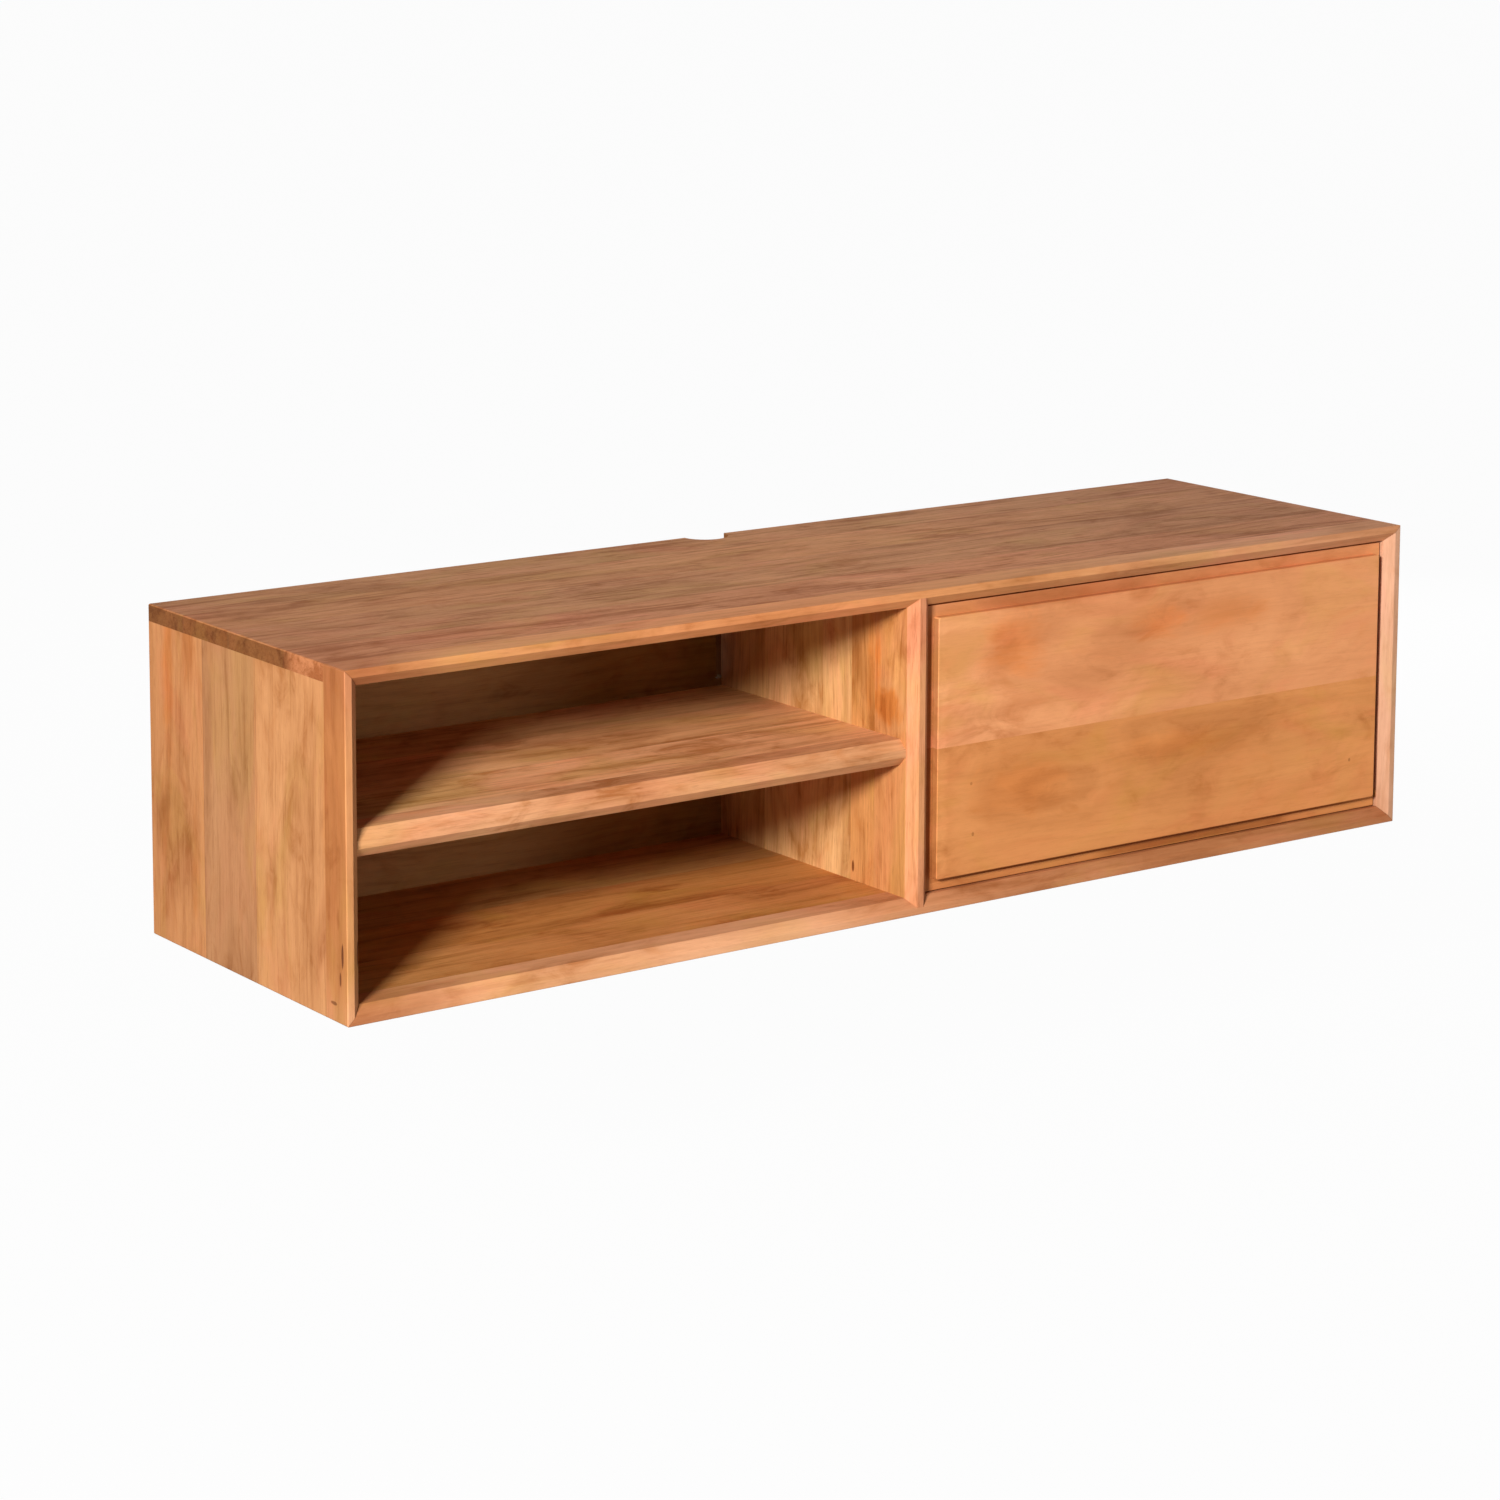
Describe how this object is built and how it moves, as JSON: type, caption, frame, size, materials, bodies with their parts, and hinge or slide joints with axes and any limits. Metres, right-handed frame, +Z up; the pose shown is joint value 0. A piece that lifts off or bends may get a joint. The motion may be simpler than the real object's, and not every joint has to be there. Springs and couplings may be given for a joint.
{
  "type": "floating media console",
  "caption": "Wall-hung wooden media console with bevelled front edges, an open bay with a shelf, a drop-down flap on slotted stays and a cable notch.",
  "frame": {"origin": "middle of the line of wall screw holes, in the plane of the wall", "axes": "+X to the right along the console, +Y towards the wall, +Z up"},
  "size_m": [1.4, 0.4, 0.35],
  "materials": {
    "top_board": "satin oiled hardwood, grain along the length",
    "side_board": "satin oiled hardwood, upright grain with knots",
    "front_strip": "satin oiled hardwood strips",
    "flap_board": "satin oiled hardwood, two boards with one seam",
    "divider_board": "satin oiled hardwood, upright grain",
    "divider_strip": "satin oiled hardwood, upright grain",
    "inner_board": "satin oiled hardwood, grain along the length",
    "back_board": "satin oiled veneered board",
    "cleat_wood": "raw planed hardwood",
    "dowel_wood": "raw turned beech",
    "bright_steel": "zinc plated",
    "screw_steel": "zinc plated",
    "magnet_plate": "dull ferrite",
    "bush_brass": "turned brass",
    "dark_plastic": "brown moulded plastic",
    "washer_nylon": "natural nylon"
  },
  "bodies": {
    "carcase": {"back_panel": "back_board", "back_panel_screws": "screw_steel", "bottom_front_lipping": "front_strip", "bottom_panel": "inner_board", "carcase_dowels": "dowel_wood", "catch_housing": "dark_plastic", "catch_magnet": "magnet_plate", "catch_pole_plates": "bright_steel", "catch_screws": "screw_steel", "cleat_dowels": "dowel_wood", "divider_lipping": "divider_strip", "divider_panel": "divider_board", "friction_washer_left": "washer_nylon", "friction_washer_right": "washer_nylon", "hanging_cleat_left": "cleat_wood", "hanging_cleat_right": "cleat_wood", "left_front_lipping": "front_strip", "left_side_panel": "side_board", "pivot_bushes": "bush_brass", "right_front_lipping": "front_strip", "right_side_panel": "side_board", "shelf_dowels": "dowel_wood", "shelf_lipping": "front_strip", "shelf_panel": "inner_board", "stay_nut_left": "bright_steel", "stay_nut_right": "bright_steel", "stay_stud_left": "bright_steel", "stay_stud_right": "bright_steel", "stay_stud_screws": "screw_steel", "top_front_lipping": "front_strip", "top_panel": "top_board", "wall_cleat_left": "cleat_wood", "wall_cleat_right": "cleat_wood"},
    "flap": {"flap_panel": "flap_board", "flap_pivot_pins": "bright_steel", "stay_bracket_left": "bright_steel", "stay_bracket_right": "bright_steel", "stay_bracket_screws": "screw_steel", "stay_rivet_left": "bright_steel", "stay_rivet_right": "bright_steel", "strike_plate": "bright_steel", "strike_screws": "screw_steel"},
    "stay_arm_left": {"stay_arm_left": "bright_steel"},
    "stay_arm_right": {"stay_arm_right": "bright_steel"}
  },
  "joints": [
    {"name": "flap_hinge", "type": "hinge", "parent": "carcase", "child": "flap", "pos_m": [0.348, -0.3816, -0.2175], "axis": [1, 0, 0], "range_deg": [0, 90]},
    {"name": "stay_pivot_left", "type": "hinge", "parent": "flap", "child": "stay_arm_left", "pos_m": [0.0182, -0.3656, -0.06836], "axis": [1, 0, 0], "range_deg": [-45, 0]},
    {"name": "stay_pivot_right", "type": "hinge", "parent": "flap", "child": "stay_arm_right", "pos_m": [0.6778, -0.3656, -0.06836], "axis": [1, 0, 0], "range_deg": [-45, 0]}
  ],
  "couplings": [
    {"joint": "stay_pivot_left", "follows": "flap_hinge", "ratio": -0.5},
    {"joint": "stay_pivot_right", "follows": "flap_hinge", "ratio": -0.5}
  ]
}
